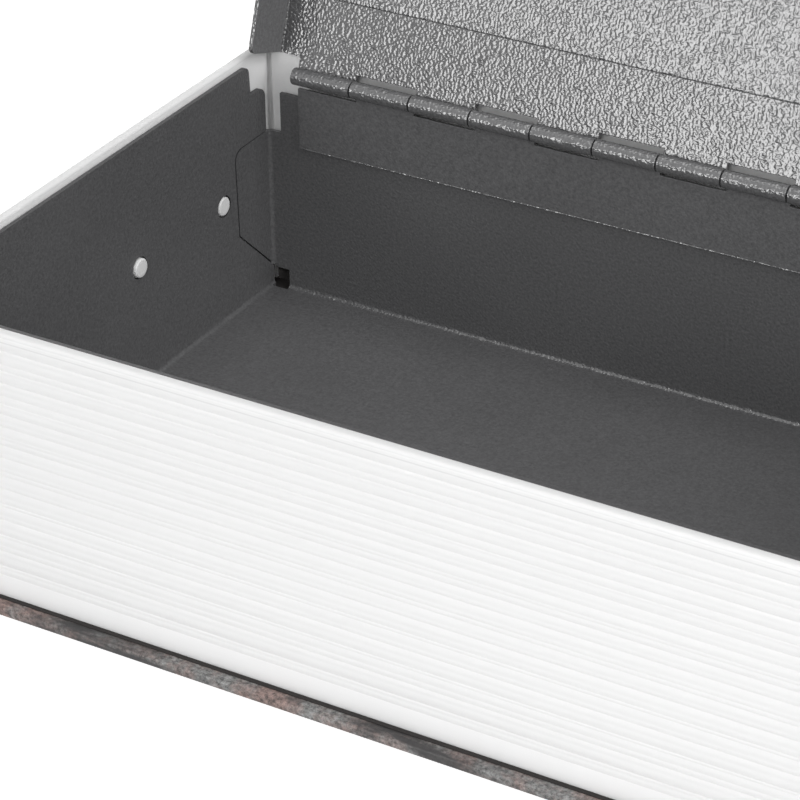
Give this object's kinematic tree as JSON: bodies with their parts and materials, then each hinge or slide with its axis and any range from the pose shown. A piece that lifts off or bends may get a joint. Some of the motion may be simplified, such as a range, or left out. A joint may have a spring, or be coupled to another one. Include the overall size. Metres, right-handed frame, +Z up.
{
  "type": "book_diversion_safe",
  "caption": "Steel cash box with an inset locking lid on a piano hinge, hidden in a white moulded page block bound as a book, standing open",
  "frame": {"origin": "centre of the underside of the back board, which the safe rests on", "axes": "+Z up, +X along the spine, +Y towards the spine and the hinge"},
  "size_m": [0.1916, 0.1727, 0.1639],
  "materials": {
    "powder_coated_steel": "fine textured dark grey powder coat over 0.8 mm sheet steel",
    "page_plastic": "white injection-moulded plastic, satin, with shallow page lines",
    "bright_steel": "bright zinc-plated steel",
    "plated_zinc": "nickel-plated zinc die casting",
    "wafer_brass": "stamped brass",
    "printed_wrap": "greyboard in a dark mottled brown and grey printed paper with a matt film",
    "lining_paper": "dark uncoated lining paper"
  },
  "bodies": {
    "box": {"page_block": "page_plastic", "steel_tray": "powder_coated_steel", "box_hinge_leaf": "powder_coated_steel", "hinge_pin": "bright_steel", "strike_bracket": "powder_coated_steel", "back_board": "printed_wrap", "back_lining": "lining_paper", "spine_board": "printed_wrap", "spine_wrap": "printed_wrap"},
    "lid": {"steel_lid": "powder_coated_steel", "lid_hinge_leaf": "powder_coated_steel", "lock_housing": "plated_zinc", "lock_washer": "bright_steel", "lock_nut": "plated_zinc"},
    "lock": {"lock_plug": "plated_zinc", "lock_wafer_1": "wafer_brass", "lock_wafer_2": "wafer_brass", "lock_wafer_3": "wafer_brass", "lock_wafer_4": "wafer_brass", "lock_wafer_5": "wafer_brass", "wafer_spring_1": "bright_steel", "wafer_spring_2": "bright_steel", "wafer_spring_3": "bright_steel", "wafer_spring_4": "bright_steel", "wafer_spring_5": "bright_steel", "lock_cam": "bright_steel", "cam_screw": "bright_steel"},
    "cover": {"front_board": "printed_wrap", "front_lining": "lining_paper"}
  },
  "joints": [
    {"name": "lid_hinge", "type": "hinge", "parent": "box", "child": "lid", "pos_m": [0, 0.0552, 0.0493], "axis": [-1, 0, 0], "range_deg": [-109, 0]},
    {"name": "cover_hinge", "type": "hinge", "parent": "box", "child": "cover", "pos_m": [0, 0.0609, 0.0531], "axis": [-1, 0, 0], "range_deg": [-114, 0]},
    {"name": "lock_turn", "type": "hinge", "parent": "lid", "child": "lock", "pos_m": [0, 0.08483, 0.13534], "axis": [0, -0.9455, 0.3256], "range_deg": [0, 90]}
  ],
  "couplings": [
    {"joint": "cover_hinge", "follows": "lid_hinge", "ratio": 1.0458}
  ]
}
